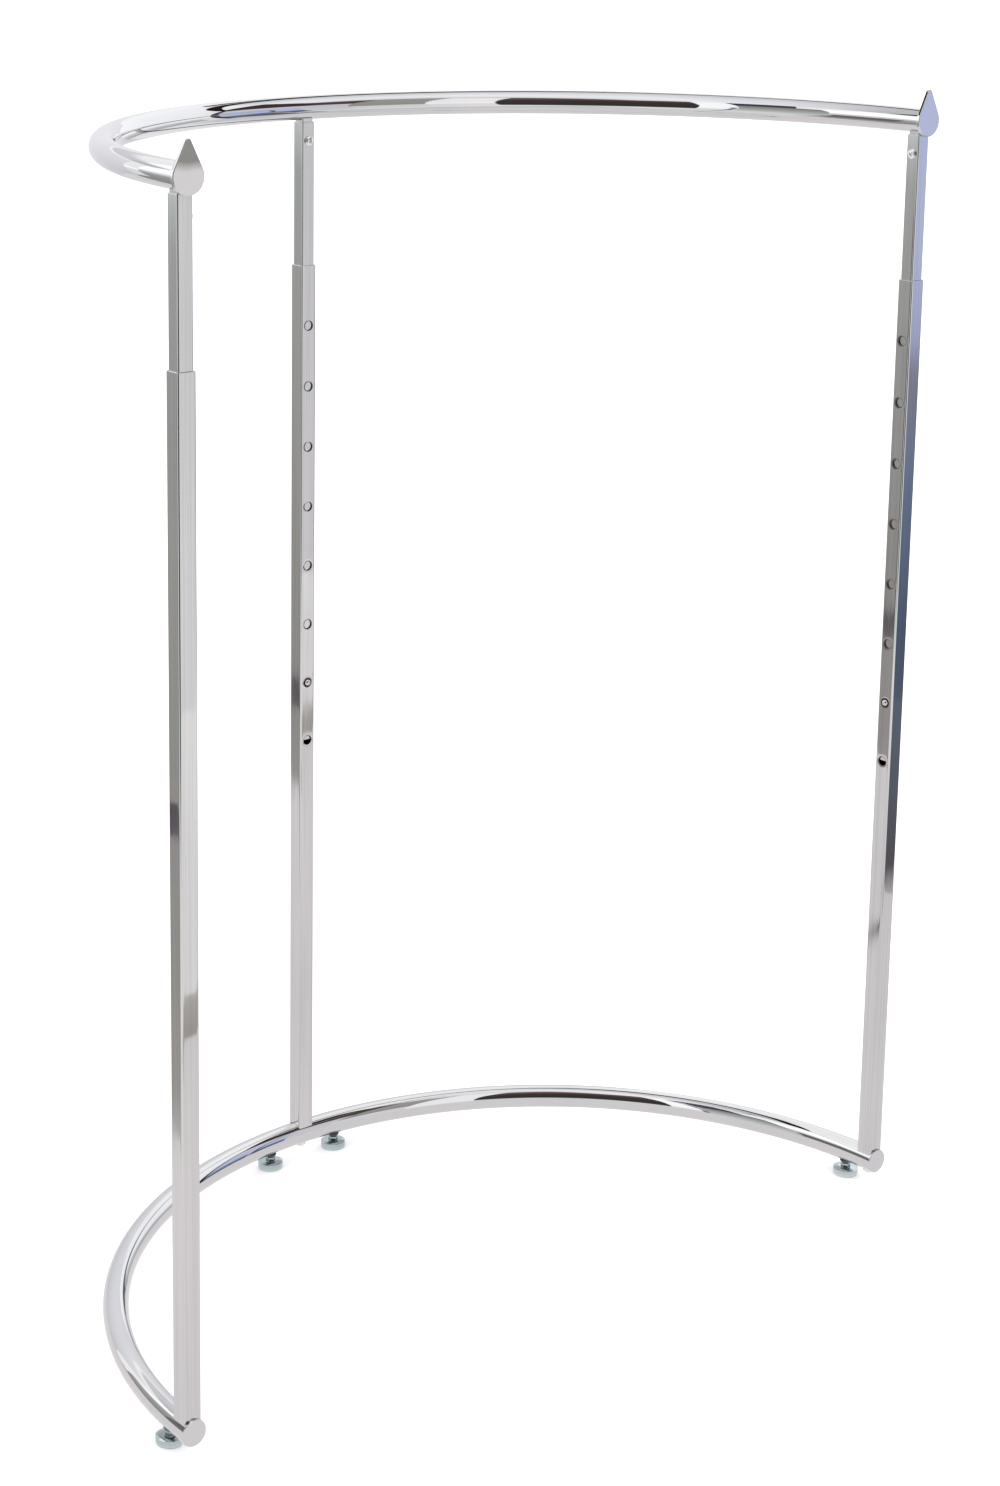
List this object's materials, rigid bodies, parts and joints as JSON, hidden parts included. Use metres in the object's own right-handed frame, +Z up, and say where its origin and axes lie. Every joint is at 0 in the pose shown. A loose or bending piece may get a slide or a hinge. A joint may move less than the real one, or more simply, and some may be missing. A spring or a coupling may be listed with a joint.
{
  "type": "half-round garment rack",
  "caption": "Half-round chrome clothes rack: a half-ring hanging rail on square telescoping uprights over a half-ring base with levelling feet.",
  "frame": {"origin": "middle of the rack's box, on the floor under the feet", "axes": "+Z up; +X to the right along the open side; +Y from the open side towards the middle of the arc"},
  "size_m": [0.9464, 0.466, 1.208],
  "materials": {
    "chrome": "bright chrome plate on steel tube",
    "zinc": "bluish bright zinc plate on steel",
    "dark_steel": "black oxide steel",
    "spring_steel": "tempered spring steel strip"
  },
  "bodies": {
    "base_frame": {"base_rail": "chrome", "base_cap_left": "chrome", "base_cap_right": "chrome", "upright_left": "chrome", "upright_middle": "chrome", "upright_right": "chrome", "upright_plug_left": "zinc", "upright_plug_middle": "zinc", "upright_plug_right": "zinc", "base_bolt_left": "zinc", "base_bolt_middle": "zinc", "base_bolt_right": "zinc", "foot_bush_left": "dark_steel", "foot_bush_mid_left": "dark_steel", "foot_bush_mid_right": "dark_steel", "foot_bush_right": "dark_steel"},
    "rail_frame": {"hang_rail": "chrome", "stop_plate_left": "chrome", "stop_plate_right": "chrome", "spigot_left": "chrome", "spigot_middle": "chrome", "spigot_right": "chrome", "mast_left": "chrome", "mast_middle": "chrome", "mast_right": "chrome", "mast_screw_left": "zinc", "mast_screw_middle": "zinc", "mast_screw_right": "zinc", "clip_spring_left": "spring_steel", "clip_spring_middle": "spring_steel", "clip_spring_right": "spring_steel"},
    "button_left": {"snap_button_left": "chrome"},
    "button_middle": {"snap_button_middle": "chrome"},
    "button_right": {"snap_button_right": "chrome"},
    "pad_left": {"foot_pad_left": "zinc"},
    "pad_mid_left": {"foot_pad_mid_left": "zinc"},
    "pad_mid_right": {"foot_pad_mid_right": "zinc"},
    "pad_right": {"foot_pad_right": "zinc"},
    "stud_left": {"foot_stud_left": "zinc"},
    "stud_mid_left": {"foot_stud_mid_left": "zinc"},
    "stud_mid_right": {"foot_stud_mid_right": "zinc"},
    "stud_right": {"foot_stud_right": "zinc"}
  },
  "joints": [
    {"name": "height_slide", "type": "slide", "parent": "base_frame", "child": "rail_frame", "axis": [0, 0, 1], "range_m": [-0.0652, 0.326]},
    {"name": "button_press_left", "type": "slide", "parent": "rail_frame", "child": "button_left", "axis": [-0.9992, 0.0394, 0], "range_m": [0, 0.0044], "stiffness_N_per_m": 1200, "springref_m": -0.004, "deforming": ["clip_spring_left"]},
    {"name": "button_press_middle", "type": "slide", "parent": "rail_frame", "child": "button_middle", "axis": [0, 1, 0], "range_m": [0, 0.0044], "stiffness_N_per_m": 1200, "springref_m": -0.004, "deforming": ["clip_spring_middle"]},
    {"name": "button_press_right", "type": "slide", "parent": "rail_frame", "child": "button_right", "axis": [0.9992, 0.0394, 0], "range_m": [0, 0.0044], "stiffness_N_per_m": 1200, "springref_m": -0.004, "deforming": ["clip_spring_right"]},
    {"name": "foot_lift_left", "type": "slide", "parent": "base_frame", "child": "pad_left", "axis": [0, 0, 1], "range_m": [-0.00625, 0.00187]},
    {"name": "foot_turn_left", "type": "hinge", "parent": "pad_left", "child": "stud_left", "pos_m": [-0.45453, -0.18753, 0.012], "axis": [0, 0, 1], "range_deg": [-1810, 550]},
    {"name": "foot_lift_mid_left", "type": "slide", "parent": "base_frame", "child": "pad_mid_left", "axis": [0, 0, 1], "range_m": [-0.00625, 0.00187]},
    {"name": "foot_turn_mid_left", "type": "hinge", "parent": "pad_mid_left", "child": "stud_mid_left", "pos_m": [-0.04382, 0.21819, 0.012], "axis": [0, 0, 1], "range_deg": [-1810, 550]},
    {"name": "foot_lift_mid_right", "type": "slide", "parent": "base_frame", "child": "pad_mid_right", "axis": [0, 0, 1], "range_m": [-0.00625, 0.00187]},
    {"name": "foot_turn_mid_right", "type": "hinge", "parent": "pad_mid_right", "child": "stud_mid_right", "pos_m": [0.04382, 0.21819, 0.012], "axis": [0, 0, 1], "range_deg": [-1810, 550]},
    {"name": "foot_lift_right", "type": "slide", "parent": "base_frame", "child": "pad_right", "axis": [0, 0, 1], "range_m": [-0.00625, 0.00187]},
    {"name": "foot_turn_right", "type": "hinge", "parent": "pad_right", "child": "stud_right", "pos_m": [0.45453, -0.18753, 0.012], "axis": [0, 0, 1], "range_deg": [-1810, 550]}
  ],
  "couplings": [
    {"joint": "foot_turn_left", "follows": "foot_lift_left", "rad_per_m": 5026.5},
    {"joint": "foot_turn_mid_left", "follows": "foot_lift_mid_left", "rad_per_m": 5026.5},
    {"joint": "foot_turn_mid_right", "follows": "foot_lift_mid_right", "rad_per_m": 5026.5},
    {"joint": "foot_turn_right", "follows": "foot_lift_right", "rad_per_m": 5026.5}
  ]
}
